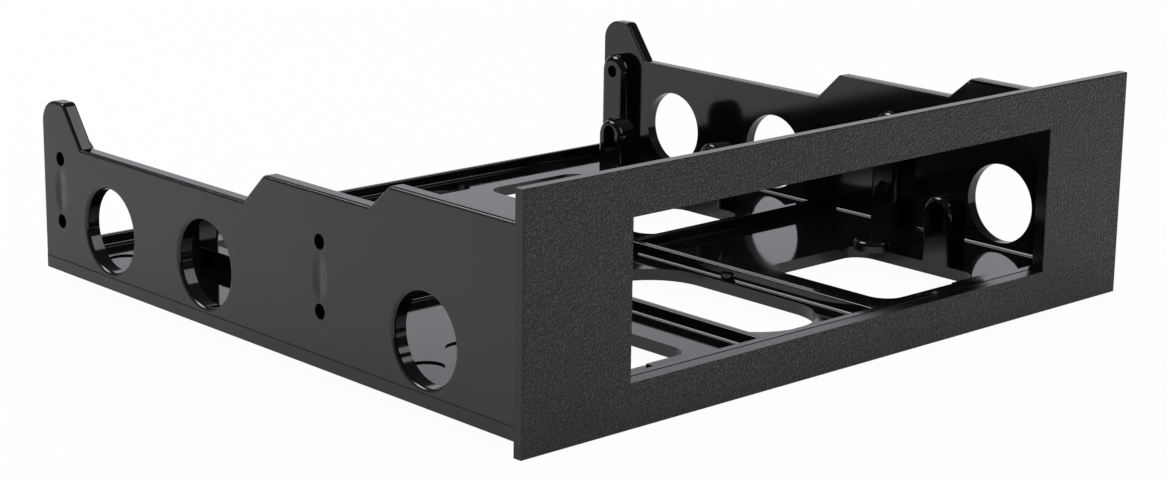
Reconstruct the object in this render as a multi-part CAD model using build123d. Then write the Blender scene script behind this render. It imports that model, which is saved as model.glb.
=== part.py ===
from build123d import *
import os

# Drive bay adapter: a tray for a 3.5 inch drive that fills one 5.25 inch bay.
# Millimetres, +X to the right seen from the front, +Y to the rear, +Z up.
# Each piece is drawn with the bezel's front face at Y = 0 and the bezel's lower edge at Z = 0,
# then set back by half the depth, so the origin is the middle of the box's underside.

# Overall sizes
overall_depth = 137.0
tray_width = 146.0
tray_underside = 2.0
drive_width = 101.6

# Front bezel
bezel_overhang = 1.2
bezel_height = 42.0
plate_thickness = 1.95
plate_edge_round = 0.35
rim_thickness = 0.55
rim_inset = 0.4
window_width = 103.6
window_height = 26.6
window_centre_height = 21.0
arm_thickness = 1.2
arm_reach = 30.6
arm_height = 13.6
arm_nose = 5.0
hook_width = 9.0
hook_spacing = 76.0
hook_thickness = 1.2
hook_barb = 0.6
hook_barb_length = 1.6
hook_drop = 0.1
hook_end_clearance = 0.2

# Tray floor
floor_thickness = 2.2
floor_rear_margin = 0.4
sill_thickness = 2.1
sill_top_round = 0.4
rib_height = 2.1
rib_thickness = 1.5
rib_foot_round = 0.45
rib_top_round = 0.3
rail_spacing = 28.4
cross_rib_middle = 68.75
lip_thickness = 1.2
ejector_pad_diameter = 3.4
ejector_pad_height = 1.1
ejector_pad_distance = 42.6

# Floor openings
opening_corner = 4.2
front_opening_start = 13.6
front_opening_end = 44.0
middle_opening_start = 74.6
middle_opening_end = 95.4
rear_opening_start = 103.5
rear_opening_end = 125.0
opening_inner_edge = 24.6
rear_opening_inner_edge = 25.2
centre_slot_width = 22.8
centre_slot_start = 12.2
centre_slot_end = 59.4
tail_slot_width = 49.0
tail_slot_length = 5.2
tail_slot_margin = 4.4

# Screw tabs that carry the drive, and the access holes in line with them
hole_row_setback = 22.1
hole_row_steps = (90.0, 30.0, 0.0)
hole_row_height = 13.0
access_hole_diameter = 15.5
access_hole_round = 0.7
tab_clearance = 0.4
tab_thickness = 4.6
tab_width = 6.8
tab_height = 13.0
tab_edge_round = 0.9
tab_slot_width = 3.4
tab_slot_height = 6.0
tab_slot_lift = 0.2
rest_pad_diameter = 7.6
rest_pad_height = 2.0
rest_pad_distance = 40.0
rest_pad_round = 0.8

# Round ejector marks on the floor between the tabs and the side panels
mark_diameter = 6.4
mark_depth = 0.3
mark_line = 63.4
mark_distances = (36.0, 125.0)

# Side panels
panel_thickness = 2.8
panel_edge_round = 0.6
panel_inner_round = 0.3
foot_cove = 0.5
cove_clearance = 0.1
rear_wall_top = 26.5
middle_wall_top = 32.0
front_wall_top = 36.3
front_step_rear = 38.6
front_step_front = 33.4
middle_step_rear = 73.0
middle_step_front = 67.2
step_round = 1.6
ear_top = 34.2
ear_foot_setback = 13.0
ear_shoulder_setback = 7.4
ear_rear_round = 4.2
ear_front_round = 1.4
tongue_width = 1.2
tongue_depth = 1.2
tongue_end_margin = 6.0

# Bay screw holes and the bosses behind them
bay_hole_diameter = 2.7
bay_hole_setback = 6.05
bay_hole_pitch = 79.25
bay_hole_low = 9.8
bay_hole_rise = 11.84
boss_width = 7.2
boss_depth = 3.2
boss_edge_round = 1.4
boss_clearance = 0.1

# Distance within which an edge counts as lying on a plane
edge_tolerance = 0.01

# Sizes that follow from the ones above
bezel_depth = plate_thickness + rim_thickness
bezel_width = tray_width + 2 * bezel_overhang
floor_top = tray_underside + floor_thickness
rib_top = floor_top + rib_height
panel_outer = tray_width / 2
panel_inner = panel_outer - panel_thickness
boss_face = panel_inner - boss_depth
tab_face = drive_width / 2 + tab_clearance
window_bottom = window_centre_height - window_height / 2
hook_top = window_bottom - hook_drop
sill_rear = bezel_depth + sill_thickness
hook_end = sill_rear + hook_barb_length
floor_rear = overall_depth - floor_rear_margin
rail_centre = rail_spacing / 2
tail_slot_end = overall_depth - tail_slot_margin
tail_slot_start = tail_slot_end - tail_slot_length
ear_foot_distance = overall_depth - ear_foot_setback
ear_shoulder_distance = overall_depth - ear_shoulder_setback
bay_hole_heights = [tray_underside + bay_hole_low, tray_underside + bay_hole_low + bay_hole_rise]
bay_hole_rear = overall_depth - bay_hole_setback
bay_hole_distances = [bay_hole_rear - bay_hole_pitch, bay_hole_rear]
hole_distances = [overall_depth - hole_row_setback - step for step in hole_row_steps]
boss_round = boss_width / 2
tab_top = floor_top + tab_height
arm_rear = bezel_depth + arm_reach
arm_top = front_wall_top - panel_edge_round
arm_bottom = arm_top - arm_height


def block(x0, x1, y0, y1, z0, z1):
    """Rectangular block between two corners."""
    return Pos(x0, y0, z0) * Box(x1 - x0, y1 - y0, z1 - z0, align=(Align.MIN, Align.MIN, Align.MIN))


def mirrored(shape):
    """The same shape on the other side of the middle plane."""
    return mirror(shape, about=Plane.YZ)


def side_profile(points, radii):
    """Closed outline in the side view, given as (distance from front, height), with rounded corners."""
    outline = Polyline(*points, close=True)
    face = make_face(outline)
    for point, radius in zip(points, radii):
        if radius > 0:
            corner = face.vertices().sort_by_distance(Vector(point[0], point[1], 0))[0]
            face = fillet(corner, radius)
    return face


def extruded_across(face, x0, x1):
    """Stand a side-view outline up at x0 and give it width towards x1."""
    frame = Plane(origin=(x0, 0, 0), x_dir=(0, 1, 0), z_dir=(1, 0, 0))
    return extrude(frame * face, amount=x1 - x0)


def across_hole(x0, x1, y, z, diameter):
    """Round bar along X, used to cut a hole or to make a boss end."""
    frame = Plane(origin=(x0, y, z), x_dir=(0, 1, 0), z_dir=(1, 0, 0))
    return extrude(frame * Circle(diameter / 2), amount=x1 - x0)


def floor_cut(x0, x1, y0, y1, radius):
    """Rounded rectangular opening through the floor plate."""
    outline = RectangleRounded(x1 - x0, y1 - y0, radius)
    middle = Pos((x0 + x1) / 2, (y0 + y1) / 2, tray_underside)
    return extrude(middle * outline, amount=floor_thickness)


def arch(x0, x1, y, bottom, top, width):
    """Upright slab along X with a round head, as wide as the head's diameter."""
    radius = width / 2
    body = block(x0, x1, y - radius, y + radius, bottom, top - radius)
    return body + across_hole(x0, x1, y, top - radius, width)


def make_bezel():
    """Plate with the drive window, the recessed rim behind it, side arms and snap hooks."""
    half_width = bezel_width / 2
    plate = block(-half_width, half_width, 0, plate_thickness, 0, bezel_height)
    plate = fillet(plate.edges().group_by(Axis.Y)[0], plate_edge_round)
    rim_top = bezel_height - rim_inset
    rim_half = panel_outer - rim_inset
    rim = block(-rim_half, rim_half, plate_thickness, bezel_depth, tray_underside + rim_inset, rim_top)
    window = block(-window_width / 2, window_width / 2, 0, bezel_depth,
                   window_bottom, window_bottom + window_height)
    bezel = plate + rim - window
    for side in (-1, 1):
        bezel += make_arm(side)
        bezel += make_hook(side)
    return bezel


def make_arm(side):
    """Flat arm that runs back along the inside of a side panel."""
    points = [(bezel_depth, arm_bottom), (arm_rear - arm_nose, arm_bottom),
              (arm_rear, arm_bottom + arm_nose), (arm_rear, arm_top), (bezel_depth, arm_top)]
    inner = panel_inner - arm_thickness
    arm = extruded_across(side_profile(points, [0, step_round, step_round, 0, 0]), inner, panel_inner)
    return arm if side > 0 else mirrored(arm)


def make_hook(side):
    """Snap hook that passes through the sill and catches behind it."""
    centre = side * hook_spacing / 2
    left = centre - hook_width / 2
    right = centre + hook_width / 2
    shank_bottom = hook_top - hook_thickness
    shank = block(left, right, bezel_depth, hook_end, shank_bottom, hook_top)
    barb_points = [(sill_rear, shank_bottom), (sill_rear, shank_bottom - hook_barb), (hook_end, shank_bottom)]
    barb = extruded_across(side_profile(barb_points, [0, 0, 0]), left, right)
    return shank + barb


def make_floor():
    """Floor plate with its openings, sill, ribs, rear lip, rest pads and screw tabs."""
    floor = block(-panel_outer, panel_outer, bezel_depth, floor_rear, tray_underside, floor_top)
    floor -= centre_openings()
    for side in (-1, 1):
        for cut in side_openings() + ejector_marks():
            floor -= cut if side > 0 else mirrored(cut)
    floor += make_ribs()
    floor += rest_pad()
    floor -= rest_mark()
    for side in (-1, 1):
        tabs = make_tabs()
        floor += tabs if side > 0 else mirrored(tabs)
        floor -= tongue(side)
        floor -= hook_slot(side)
        floor -= cove_relief(side)
        for distance in bay_hole_distances:
            floor -= boss_relief(side, distance)
    return floor


def side_openings():
    """The three openings under the screw tabs on the right-hand side."""
    front = floor_cut(opening_inner_edge, tab_face,
                      front_opening_start, front_opening_end, opening_corner)
    middle = floor_cut(opening_inner_edge, tab_face,
                       middle_opening_start, middle_opening_end, opening_corner)
    rear = floor_cut(rear_opening_inner_edge, tab_face,
                     rear_opening_start, rear_opening_end, opening_corner)
    return [front, middle, rear]


def centre_openings():
    """The long round-ended slot between the rails and the cross slot at the rear."""
    long_middle = (centre_slot_start + centre_slot_end) / 2
    long_slot = Rot(0, 0, 90) * SlotOverall(centre_slot_end - centre_slot_start, centre_slot_width)
    tail_middle = (tail_slot_start + tail_slot_end) / 2
    tail_slot = SlotOverall(tail_slot_width, tail_slot_end - tail_slot_start)
    cuts = Pos(0, long_middle, tray_underside) * extrude(long_slot, amount=floor_thickness)
    cuts += Pos(0, tail_middle, tray_underside) * extrude(tail_slot, amount=floor_thickness)
    return cuts


def rib_section(thickness):
    """Low rib seen end on: rounded top corners and a small cove at each side of its foot."""
    section = Pos(0, rib_height / 2) * Rectangle(thickness, rib_height)
    section = fillet(section.vertices().group_by(Axis.Y)[-1], rib_top_round)
    section += Pos(0, rib_foot_round / 2) * Rectangle(thickness + 2 * rib_foot_round, rib_foot_round)
    for side in (-1, 1):
        cove_centre = side * (thickness / 2 + rib_foot_round)
        section -= Pos(cove_centre, rib_foot_round) * Circle(rib_foot_round)
    return section


def cross_rib(distance, thickness):
    """Rib across the tray from one side panel to the other, its middle at the given distance."""
    frame = Plane(origin=(-panel_inner, distance, floor_top), x_dir=(0, 1, 0), z_dir=(1, 0, 0))
    return extrude(frame * rib_section(thickness), amount=2 * panel_inner)


def rail(x):
    """Rib that runs back from the sill to the cross rib beside the centre slot."""
    frame = Plane(origin=(x, cross_rib_middle, floor_top), x_dir=(1, 0, 0), z_dir=(0, -1, 0))
    return extrude(frame * rib_section(rib_thickness), amount=cross_rib_middle - sill_rear)


def make_ribs():
    """Sill behind the bezel, cross rib, the two rails beside the slot and the rear lip."""
    sill = block(-panel_inner, panel_inner, bezel_depth, sill_rear, floor_top, window_bottom)
    sill = fillet(sill.edges().group_by(Axis.Z)[-1].filter_by(Axis.X), sill_top_round)
    ribs = sill + cross_rib(cross_rib_middle, rib_thickness) + rear_lip()
    for side in (-1, 1):
        x = side * rail_centre
        ribs += rail(x)
        pad = Cylinder(ejector_pad_diameter / 2, ejector_pad_height,
                       align=(Align.CENTER, Align.CENTER, Align.MIN))
        ribs += Pos(x, ejector_pad_distance, floor_top) * pad
    return ribs


def rear_lip():
    """Low lip along the floor's rear edge, with a cove on its inner side only."""
    lip = cross_rib(floor_rear - lip_thickness / 2, lip_thickness)
    return lip - block(-panel_inner, panel_inner, floor_rear, overall_depth + rib_foot_round,
                       floor_top, rib_top)


def make_tabs():
    """Right-hand row of slotted screw tabs beside the drive."""
    row = Part()
    slot_middle = hole_row_height + tab_slot_lift
    slot_bottom = slot_middle - tab_slot_height / 2
    slot_top = slot_middle + tab_slot_height / 2
    for distance in hole_distances:
        tab = arch(tab_face, tab_face + tab_thickness, distance, floor_top, tab_top, tab_width)
        face_edges = tab.edges().group_by(Axis.X)[0]
        rounded = [edge for edge in face_edges if edge.center().Z > floor_top + edge_tolerance]
        tab = fillet(rounded, tab_edge_round)
        row += tab - rounded_slot(distance, slot_bottom, slot_top)
    return row


def rounded_slot(distance, bottom, top):
    """Upright round-ended slot through a screw tab."""
    radius = tab_slot_width / 2
    x0 = tab_face
    x1 = tab_face + tab_thickness
    slot = block(x0, x1, distance - radius, distance + radius, bottom + radius, top - radius)
    slot += across_hole(x0, x1, distance, bottom + radius, tab_slot_width)
    slot += across_hole(x0, x1, distance, top - radius, tab_slot_width)
    return slot


def ejector_marks():
    """Shallow round marks sunk into the floor on the right-hand side."""
    mark = Cylinder(mark_diameter / 2, mark_depth, align=(Align.CENTER, Align.CENTER, Align.MAX))
    return [Pos(mark_line, distance, floor_top) * mark for distance in mark_distances]


def rest_mark():
    """Shallow round mark on the left-hand side, where the right-hand side has its rest pad."""
    mark = Cylinder(rest_pad_diameter / 2, mark_depth, align=(Align.CENTER, Align.CENTER, Align.MAX))
    return Pos(-tab_face, rest_pad_distance, floor_top) * mark


def rest_pad():
    """Low round button under the drive's lower edge, on the right-hand side only."""
    pad = Cylinder(rest_pad_diameter / 2, rest_pad_height, align=(Align.CENTER, Align.CENTER, Align.MIN))
    pad = fillet(pad.edges().group_by(Axis.Z)[-1], rest_pad_round)
    return Pos(tab_face, rest_pad_distance, floor_top) * pad


def tongue(side):
    """Tongue under a side panel's foot; the floor plate has the groove for it."""
    x0 = panel_outer - panel_thickness / 2 - tongue_width / 2
    bar = block(x0, x0 + tongue_width, bezel_depth + tongue_end_margin, floor_rear - tongue_end_margin,
                floor_top - tongue_depth, floor_top)
    return bar if side > 0 else mirrored(bar)


def boss_relief(side, distance):
    """Room in the low ribs for the foot of a screw boss."""
    relief = block(boss_face - boss_clearance, panel_inner, distance - boss_round - boss_clearance,
                   distance + boss_round + boss_clearance, floor_top, rib_top)
    return relief if side > 0 else mirrored(relief)


def foot_cove_bar():
    """Small cove between the right-hand side panel's inner face and the floor."""
    length = floor_rear - bezel_depth
    frame = Plane(origin=(panel_inner, bezel_depth, floor_top), x_dir=(-1, 0, 0), z_dir=(0, 1, 0))
    corner = Pos(foot_cove / 2, foot_cove / 2) * Rectangle(foot_cove, foot_cove)
    section = corner - Pos(foot_cove, foot_cove) * Circle(foot_cove)
    return extrude(frame * section, amount=length)


def cove_relief(side):
    """Room for the side panel's foot cove under the ends of the sill, the cross rib and the lip."""
    reach = foot_cove + cove_clearance
    relief = block(panel_inner - reach, panel_inner, bezel_depth, floor_rear, floor_top, floor_top + reach)
    return relief if side > 0 else mirrored(relief)


def hook_slot(side):
    """Slot in the sill for a snap hook, with room for its barb behind the sill."""
    centre = side * hook_spacing / 2
    left = centre - hook_width / 2
    right = centre + hook_width / 2
    rear = hook_end + hook_end_clearance
    return block(left, right, bezel_depth, rear, hook_top - hook_thickness - hook_barb, hook_top)


def make_panel():
    """Right-hand side panel: stepped wall, ear, access holes, screw bosses, foot cove and tongue."""
    rear = overall_depth
    points = [(bezel_depth, floor_top), (rear, floor_top), (rear, ear_top),
              (ear_shoulder_distance, ear_top), (ear_foot_distance, rear_wall_top),
              (middle_step_rear, rear_wall_top), (middle_step_front, middle_wall_top),
              (front_step_rear, middle_wall_top), (front_step_front, front_wall_top),
              (bezel_depth, front_wall_top)]
    radii = [0, 0, ear_rear_round, ear_front_round, 0, 0, step_round, 0, step_round, 0]
    panel = extruded_across(side_profile(points, radii), panel_inner, panel_outer)
    panel = fillet(panel.edges().filter_by(is_rim).group_by(Axis.X)[-1], panel_edge_round)
    panel = fillet(panel.edges().filter_by(is_rim).group_by(Axis.X)[0], panel_inner_round)
    for distance in hole_distances:
        panel -= across_hole(panel_inner, panel_outer, distance, hole_row_height, access_hole_diameter)
    hole_edges = panel.edges().group_by(Axis.X)[-1].filter_by(lambda edge: edge.is_closed)
    panel = fillet(hole_edges, access_hole_round)
    panel += foot_cove_bar()
    for distance in bay_hole_distances:
        panel += make_boss(distance)
        for height in bay_hole_heights:
            panel -= across_hole(boss_face, panel_outer, distance, height, bay_hole_diameter)
    return panel + tongue(1)


def is_rim(edge):
    """True for an edge of the panel's top or rear end, and not of its foot or front end."""
    middle = edge.center()
    return middle.Z > floor_top + edge_tolerance and middle.Y > bezel_depth + edge_tolerance


def make_boss(distance):
    """Round-headed pad behind a pair of bay screw holes."""
    top = bay_hole_heights[-1] + boss_round
    boss = arch(boss_face, panel_inner, distance, floor_top, top, boss_width)
    face_edges = boss.edges().group_by(Axis.X)[0]
    rounded = [edge for edge in face_edges if edge.center().Z > floor_top + boss_edge_round]
    return fillet(rounded, boss_edge_round)


def write(name, piece):
    """Set a piece back to the shared origin and write it as one STEP file."""
    placed = Pos(0, -overall_depth / 2, 0) * piece
    placed.label = name
    export_step(placed, os.path.join("parts", name + ".step"))


os.makedirs("parts", exist_ok=True)
right_panel = make_panel()
write("front_bezel", make_bezel())
write("tray_floor", make_floor())
write("right_side_panel", right_panel)
write("left_side_panel", mirrored(right_panel))
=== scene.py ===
# A black moulded drive bay adapter: a tray in polished ABS behind a pebble-grained bezel,
# seen from its front left corner on a white studio floor.

import math

import bmesh
import bpy
from mathutils import Matrix, Vector


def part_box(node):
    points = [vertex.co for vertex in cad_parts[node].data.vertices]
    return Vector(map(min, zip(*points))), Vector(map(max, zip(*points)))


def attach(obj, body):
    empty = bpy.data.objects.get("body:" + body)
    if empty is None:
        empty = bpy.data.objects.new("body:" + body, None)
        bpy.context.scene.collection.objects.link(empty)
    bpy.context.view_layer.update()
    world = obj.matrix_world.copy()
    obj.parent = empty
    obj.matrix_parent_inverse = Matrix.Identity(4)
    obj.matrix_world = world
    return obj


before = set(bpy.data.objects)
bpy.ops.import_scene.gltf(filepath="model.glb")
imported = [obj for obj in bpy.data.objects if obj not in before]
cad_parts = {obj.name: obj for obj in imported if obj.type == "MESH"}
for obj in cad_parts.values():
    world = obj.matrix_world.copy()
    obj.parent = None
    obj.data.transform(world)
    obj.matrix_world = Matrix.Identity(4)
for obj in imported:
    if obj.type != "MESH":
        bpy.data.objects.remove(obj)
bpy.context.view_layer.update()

MM = 0.001
IMAGE_WIDTH = 1166

# Places on the part, in the shared frame
bezel_low, bezel_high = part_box("front_bezel")
wall_low, wall_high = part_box("left_side_panel")
bezel_front = bezel_low.y
outer_wall = wall_high.x if abs(wall_high.x) > abs(wall_low.x) else -wall_low.x
screw_columns = [bezel_front + 51.7 * MM, bezel_front + 130.95 * MM]
screw_rows_middle = 17.7 * MM
foot_line = 4.2 * MM
# Low web in front of the rear screw tab, on the right-hand side, sunk a little into the floor
web_box = (Vector((51.2 * MM, bezel_front + 97.0 * MM, 4.0 * MM)),
           Vector((54.4 * MM, bezel_front + 113.0 * MM, 7.3 * MM)))
web_edge_round = 0.25 * MM

# Relief of the surfaces
grain_spacing_mm = 0.5
grain_height = 0.45 * MM
plate_skin = 0.12 * MM
skin_wave = 0.02 * MM
foot_groove_reach = 0.45 * MM
foot_groove_depth = 0.3 * MM
# Sink mark and weld line at each screw column, as reaches along y and z and a depth
wall_marks = [(2.4 * MM, 5.4 * MM, 0.42 * MM), (0.35 * MM, 13.0 * MM, 0.09 * MM)]

# Levels of the studio, from 0 for black to 1 for white
floor_seen = 0.97
floor_mirrored = 0.16
mirrored_dark = 0.09
mirrored_sweep = 0.82
studio_fill = 0.42
sweep_way = (0.68, 0.73, 0.0)


def linear(code):
    """An sRGB hex colour as linear red, green, blue and alpha."""
    parts = [int(code[i:i + 2], 16) / 255 for i in (1, 3, 5)]
    return [p / 12.92 if p <= 0.04045 else ((p + 0.055) / 1.055) ** 2.4 for p in parts] + [1.0]


def add(tree, kind, settings=None, links=None):
    """Add one node, set its sockets or properties, and link other nodes' outputs into it."""
    made = tree.nodes.new(kind)
    for name, value in (settings or {}).items():
        if isinstance(name, int) or name in made.inputs:
            made.inputs[name].default_value = value
        else:
            setattr(made, name, value)
    for name, (source, output) in (links or {}).items():
        tree.links.new(source.outputs[output], made.inputs[name])
    return made


def new_material(name):
    """An empty node material and its tree."""
    material = bpy.data.materials.new(name)
    material.use_nodes = True
    material.node_tree.nodes.clear()
    return material, material.node_tree


def per_metre(size_mm):
    """The scale of a noise pattern whose lumps are this many millimetres apart."""
    return 1000.0 / size_mm


def dent(tree, coords, middle, reach):
    """1 in the middle of an oval and 0 outside it: middle and reach are (x, y, z) in metres."""
    shifted = add(tree, "ShaderNodeVectorMath", {"operation": "SUBTRACT", 1: middle},
                  {0: (coords, "Object")})
    scaled = add(tree, "ShaderNodeVectorMath", {"operation": "DIVIDE", 1: reach}, {0: (shifted, 0)})
    length = add(tree, "ShaderNodeVectorMath", {"operation": "LENGTH"}, {0: (scaled, 0)})
    return add(tree, "ShaderNodeMapRange",
               {"interpolation_type": "SMOOTHERSTEP", "From Min": 1.0, "From Max": 0.0},
               {"Value": (length, "Value")})


def pebbled_abs():
    """Moulded ABS with a spark-eroded pebble grain: a dull charcoal skin of low, flat-topped lumps.
    The grain catches light on one flank of each lump. Behind the plate the moulding is smooth."""
    material, tree = new_material("pebbled_black_abs")
    coords = add(tree, "ShaderNodeTexCoord")
    # Lumps about half a millimetre apart, raised more than the real grain so that they read in the picture
    lumps = add(tree, "ShaderNodeTexNoise",
                {"Scale": per_metre(grain_spacing_mm), "Detail": 1.5, "Roughness": 0.5, "Distortion": 0.15},
                {"Vector": (coords, "Object")})
    flat_tops = add(tree, "ShaderNodeMapRange",
                    {"interpolation_type": "SMOOTHSTEP", "From Min": 0.38, "From Max": 0.6},
                    {"Value": (lumps, "Fac")})
    split = add(tree, "ShaderNodeSeparateXYZ", links={0: (coords, "Object")})
    # The grain is on the front face only, and the plate's rim is smooth
    on_plate = add(tree, "ShaderNodeMath", {"operation": "LESS_THAN", 1: bezel_front + plate_skin},
                   {0: (split, "Y")})
    grain = add(tree, "ShaderNodeMath", {"operation": "MULTIPLY"}, {0: (flat_tops, 0), 1: (on_plate, 0)})
    height = add(tree, "ShaderNodeMath", {"operation": "MULTIPLY", 1: grain_height}, {0: (grain, 0)})
    bump = add(tree, "ShaderNodeBump", {"Distance": 1.0, "Strength": 1.0}, {"Height": (height, 0)})
    # Dull and charcoal on the grain, glossy and black on the moulding behind it
    rough = add(tree, "ShaderNodeMapRange", {"To Min": 0.12, "To Max": 0.3}, {"Value": (on_plate, 0)})
    worn = add(tree, "ShaderNodeTexNoise", {"Scale": per_metre(22.0), "Detail": 2.0},
               {"Vector": (coords, "Object")})
    charcoal = add(tree, "ShaderNodeMix", {"data_type": "RGBA", 6: linear("#2b2b2c"), 7: linear("#353536")},
                   {0: (worn, "Fac")})
    tone = add(tree, "ShaderNodeMix", {"data_type": "RGBA", 6: linear("#08080a")},
               {0: (on_plate, 0), 7: (charcoal, 2)})
    shader = add(tree, "ShaderNodeBsdfPrincipled", {"IOR": 1.5},
                 {"Base Color": (tone, 2), "Roughness": (rough, 0), "Normal": (bump, 0)})
    add(tree, "ShaderNodeOutputMaterial", links={0: (shader, 0)})
    return material


def polished_abs():
    """ABS from a polished mould: near black, with clear mirror images of what stands beside it.
    A faint waviness of the cooled skin bends those images."""
    material, tree = new_material("polished_black_abs")
    coords = add(tree, "ShaderNodeTexCoord")
    swell = add(tree, "ShaderNodeTexNoise", {"Scale": per_metre(14.0), "Detail": 2.0},
                {"Vector": (coords, "Object")})
    height = add(tree, "ShaderNodeMath", {"operation": "MULTIPLY", 1: skin_wave}, {0: (swell, "Fac")})
    bump = add(tree, "ShaderNodeBump", {"Distance": 1.0, "Strength": 1.0}, {"Height": (height, 0)})
    haze = add(tree, "ShaderNodeTexNoise", {"Scale": per_metre(9.0), "Detail": 5.0},
               {"Vector": (coords, "Object")})
    rough = add(tree, "ShaderNodeMapRange", {"To Min": 0.03, "To Max": 0.09}, {"Value": (haze, "Fac")})
    tone = add(tree, "ShaderNodeMix", {"data_type": "RGBA", 6: linear("#060607"), 7: linear("#0a0a0b")},
               {0: (haze, "Fac")})
    shader = add(tree, "ShaderNodeBsdfPrincipled", {"IOR": 1.53},
                 {"Base Color": (tone, 2), "Roughness": (rough, 0), "Normal": (bump, 0)})
    add(tree, "ShaderNodeOutputMaterial", links={0: (shader, 0)})
    return material


def walled_abs():
    """The side panels' ABS: satin on the outer face, which shows the floor as an even grey,
    and polished everywhere else. The bosses behind the bay screws leave sink marks and
    weld lines in the outer face, and a groove follows the wall's foot."""
    material, tree = new_material("satin_and_polished_black_abs")
    coords = add(tree, "ShaderNodeTexCoord")
    split = add(tree, "ShaderNodeSeparateXYZ", links={0: (coords, "Object")})
    across = add(tree, "ShaderNodeMath", {"operation": "ABSOLUTE"}, {0: (split, "X")})
    outside = add(tree, "ShaderNodeMapRange",
                  {"From Min": outer_wall - 0.3 * MM, "From Max": outer_wall - 0.1 * MM},
                  {"Value": (across, 0)})
    swell = add(tree, "ShaderNodeTexNoise", {"Scale": per_metre(18.0), "Detail": 2.0},
                {"Vector": (coords, "Object")})
    height = add(tree, "ShaderNodeMath", {"operation": "MULTIPLY", 1: skin_wave}, {0: (swell, "Fac")})
    marks = None
    for column in screw_columns:
        for reach_y, reach_z, depth in wall_marks:
            oval = dent(tree, coords, (0.0, column, screw_rows_middle), (1.0, reach_y, reach_z))
            mark = add(tree, "ShaderNodeMath", {"operation": "MULTIPLY", 1: depth}, {0: (oval, 0)})
            marks = mark if marks is None else add(tree, "ShaderNodeMath", {"operation": "ADD"},
                                                   {0: (marks, 0), 1: (mark, 0)})
    # A thin groove runs along the wall where its foot meets the tray
    line = dent(tree, coords, (0.0, 0.0, foot_line), (1.0, 1.0, foot_groove_reach))
    groove = add(tree, "ShaderNodeMath", {"operation": "MULTIPLY", 1: foot_groove_depth}, {0: (line, 0)})
    marks = add(tree, "ShaderNodeMath", {"operation": "ADD"}, {0: (marks, 0), 1: (groove, 0)})
    outer_marks = add(tree, "ShaderNodeMath", {"operation": "MULTIPLY"}, {0: (marks, 0), 1: (outside, 0)})
    skin = add(tree, "ShaderNodeMath", {"operation": "SUBTRACT"}, {0: (height, 0), 1: (outer_marks, 0)})
    bump = add(tree, "ShaderNodeBump", {"Distance": 1.0, "Strength": 1.0}, {"Height": (skin, 0)})
    haze = add(tree, "ShaderNodeTexNoise", {"Scale": per_metre(9.0), "Detail": 5.0},
               {"Vector": (coords, "Object")})
    inner_rough = add(tree, "ShaderNodeMapRange", {"To Min": 0.07, "To Max": 0.13}, {"Value": (haze, "Fac")})
    outer_rough = add(tree, "ShaderNodeMapRange", {"To Min": 0.3, "To Max": 0.36}, {"Value": (haze, "Fac")})
    smooth = add(tree, "ShaderNodeMix", {"data_type": "FLOAT"},
                 {0: (outside, 0), 2: (inner_rough, 0), 3: (outer_rough, 0)})
    # The groove is dull, so it reads as a dark line
    dull = add(tree, "ShaderNodeMath", {"operation": "MULTIPLY"}, {0: (line, 0), 1: (outside, 0)})
    rough = add(tree, "ShaderNodeMix", {"data_type": "FLOAT", 3: 0.95}, {0: (dull, 0), 2: (smooth, 0)})
    tone = add(tree, "ShaderNodeMix", {"data_type": "RGBA", 6: linear("#070708"), 7: linear("#1a1a1a")},
               {0: (outside, 0)})
    shader = add(tree, "ShaderNodeBsdfPrincipled", {"IOR": 1.53},
                 {"Base Color": (tone, 2), "Roughness": (rough, 0), "Normal": (bump, 0)})
    add(tree, "ShaderNodeOutputMaterial", links={0: (shader, 0)})
    return material


def dress(name, material):
    """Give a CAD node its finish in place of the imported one."""
    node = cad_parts[name]
    node.data.materials.clear()
    node.data.materials.append(material)


def tab_web(name, side, material):
    """Low web along the drive's edge in front of the rear screw tab, with eased edges."""
    low, high = web_box
    middle = (low + high) / 2
    mesh = bpy.data.meshes.new(name)
    shape = bmesh.new()
    bmesh.ops.create_cube(shape, size=1.0, matrix=Matrix.LocRotScale(None, None, high - low))
    bmesh.ops.bevel(shape, geom=shape.edges, offset=web_edge_round, segments=3, profile=0.5, affect="EDGES")
    shape.to_mesh(mesh)
    shape.free()
    mesh.materials.append(material)
    web = bpy.data.objects.new(name, mesh)
    web.location = (side * middle.x, middle.y, middle.z)
    bpy.context.scene.collection.objects.link(web)
    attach(web, "root")


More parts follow.
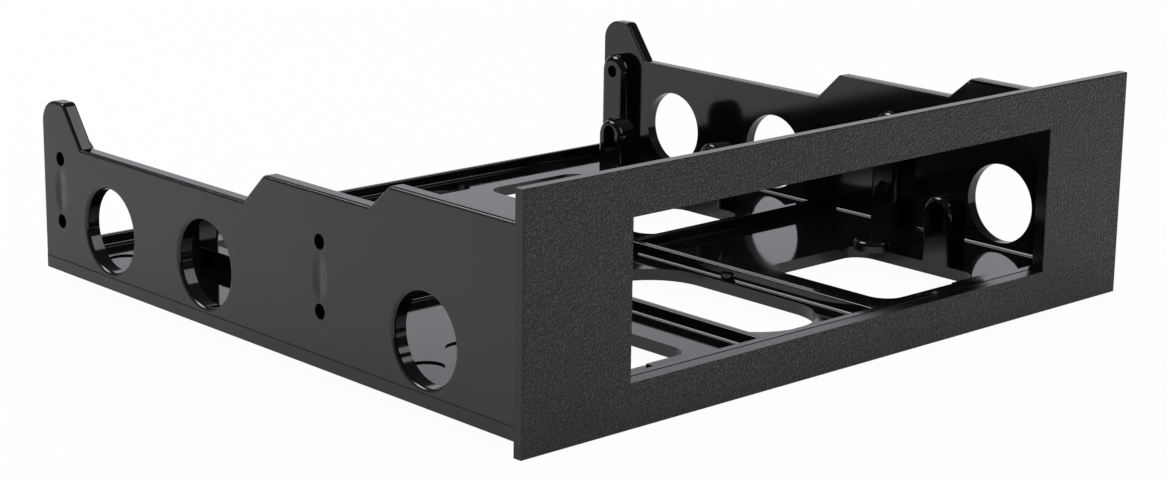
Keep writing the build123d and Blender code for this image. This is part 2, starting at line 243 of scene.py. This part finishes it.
def studio_floor():
    """White sweep of a floor that stays white to the camera and keeps a soft contact shadow."""
    half = 3.0
    mesh = bpy.data.meshes.new("studio_floor")
    corners = [(-half, -half, 0), (half, -half, 0), (half, half, 0), (-half, half, 0)]
    mesh.from_pydata(corners, [], [(0, 1, 2, 3)])
    floor = bpy.data.objects.new("studio_floor", mesh)
    floor.location.z = -0.05 * MM
    bpy.context.scene.collection.objects.link(floor)
    material, tree = new_material("white_studio_paper")
    path = add(tree, "ShaderNodeLightPath")
    through = add(tree, "ShaderNodeMath", {"operation": "MAXIMUM"},
                  {0: (path, "Is Camera Ray"), 1: (path, "Is Transmission Ray")})
    direct = add(tree, "ShaderNodeMath", {"operation": "MULTIPLY", 1: floor_seen}, {0: (through, 0)})
    mirrored = add(tree, "ShaderNodeMath", {"operation": "MULTIPLY", 1: floor_mirrored},
                   {0: (path, "Is Glossy Ray")})
    share = add(tree, "ShaderNodeMath", {"operation": "MAXIMUM"}, {0: (direct, 0), 1: (mirrored, 0)})
    paper = add(tree, "ShaderNodeBsdfDiffuse", {"Color": linear("#ececec")})
    white = add(tree, "ShaderNodeEmission", {"Color": linear("#ffffff"), "Strength": 1.0})
    mixed = add(tree, "ShaderNodeMixShader", links={0: (share, 0), 1: (paper, 0), 2: (white, 0)})
    add(tree, "ShaderNodeOutputMaterial", links={0: (mixed, 0)})
    mesh.materials.append(material)


def studio_world():
    """White backdrop: strength 1 where the camera or glass sees it, and a plain grey level as light.
    In the mirror images it is a white sweep behind the part, and the studio around it is dark."""
    world = bpy.data.worlds.new("studio_room")
    bpy.context.scene.world = world
    world.use_nodes = True
    tree = world.node_tree
    tree.nodes.clear()
    path = add(tree, "ShaderNodeLightPath")
    way = add(tree, "ShaderNodeTexCoord")
    split = add(tree, "ShaderNodeSeparateXYZ", links={0: (way, "Generated")})
    low = add(tree, "ShaderNodeMapRange",
              {"interpolation_type": "SMOOTHSTEP", "From Min": 0.42, "From Max": 0.28},
              {"Value": (split, "Z")})
    behind = add(tree, "ShaderNodeVectorMath", {"operation": "DOT_PRODUCT", 1: sweep_way},
                 {0: (way, "Generated")})
    sweep = add(tree, "ShaderNodeMapRange",
                {"interpolation_type": "SMOOTHSTEP", "From Min": 0.55, "From Max": 0.85},
                {"Value": (behind, "Value")})
    backdrop = add(tree, "ShaderNodeMath", {"operation": "MULTIPLY"}, {0: (low, 0), 1: (sweep, 0)})
    mirrored = add(tree, "ShaderNodeMapRange", {"To Min": mirrored_dark, "To Max": mirrored_sweep},
                   {"Value": (backdrop, 0)})
    light = add(tree, "ShaderNodeMix", {"data_type": "FLOAT", 2: studio_fill},
                {0: (path, "Is Glossy Ray"), 3: (mirrored, 0)})
    plain = add(tree, "ShaderNodeMath", {"operation": "MAXIMUM"},
                {0: (path, "Is Camera Ray"), 1: (path, "Is Transmission Ray")})
    level = add(tree, "ShaderNodeMath", {"operation": "MAXIMUM"}, {0: (plain, 0), 1: (light, 0)})
    # Mirror images are a little cooler than the backdrop itself
    cool = add(tree, "ShaderNodeMix", {"data_type": "RGBA", 6: linear("#ffffff"), 7: linear("#f5f7ff")},
               {0: (path, "Is Glossy Ray")})
    back = add(tree, "ShaderNodeBackground", links={"Color": (cool, 2), "Strength": (level, 0)})
    add(tree, "ShaderNodeOutputWorld", links={0: (back, 0)})


def softbox(name, place, shape, size, power):
    """Soft light aimed at the middle of the part: a square box or a round dish, size metres across."""
    lamp = bpy.data.lights.new(name, "AREA")
    lamp.shape = shape
    lamp.size = size
    lamp.energy = power
    light = bpy.data.objects.new(name, lamp)
    light.location = place
    aim = Vector((0, 0, 0.02)) - Vector(place)
    light.rotation_euler = aim.to_track_quat("-Z", "Y").to_euler()
    bpy.context.scene.collection.objects.link(light)


def photo_camera():
    """Camera at the photograph's viewpoint, from its turn, height, roll and distance."""
    turn, height, roll = math.radians(-42.79), math.radians(13.55), math.radians(0.80)
    focal = 2574.1
    slide = Vector((45.43, -28.20, -435.97)) * MM
    drawn_down = -40.0
    back = Vector((math.sin(turn) * math.cos(height), -math.cos(turn) * math.cos(height), math.sin(height)))
    level = Vector((math.cos(turn), math.sin(turn), 0))
    upright = back.cross(level)
    right = level * math.cos(roll) + upright * math.sin(roll)
    up = upright * math.cos(roll) - level * math.sin(roll)
    place = -(right * slide.x + up * slide.y + back * slide.z)
    place.y += bezel_front
    camera = bpy.data.cameras.new("photo_camera")
    camera.sensor_width = 36.0
    camera.lens = focal / IMAGE_WIDTH * camera.sensor_width
    camera.shift_y = drawn_down / IMAGE_WIDTH
    camera.clip_start, camera.clip_end = 0.01, 20.0
    view = bpy.data.objects.new("photo_camera", camera)
    turned = Matrix((right, up, back)).transposed().to_4x4()
    view.matrix_world = Matrix.Translation(place) @ turned
    bpy.context.scene.collection.objects.link(view)
    bpy.context.scene.camera = view


photo_camera()
studio_floor()
studio_world()
softbox("rear_softbox", (-0.45, 0.85, 1.2), "SQUARE", 0.7, 12.0)
softbox("front_dish", (0.8, -1.3, 1.2), "DISK", 1.3, 9.5)

walls = walled_abs()
polished = polished_abs()
dress("front_bezel", pebbled_abs())
dress("tray_floor", polished)
dress("left_side_panel", walls)
dress("right_side_panel", walls)
tab_web("left_tab_web", -1, polished)
tab_web("right_tab_web", 1, polished)

bpy.context.scene.view_settings.view_transform = "Standard"
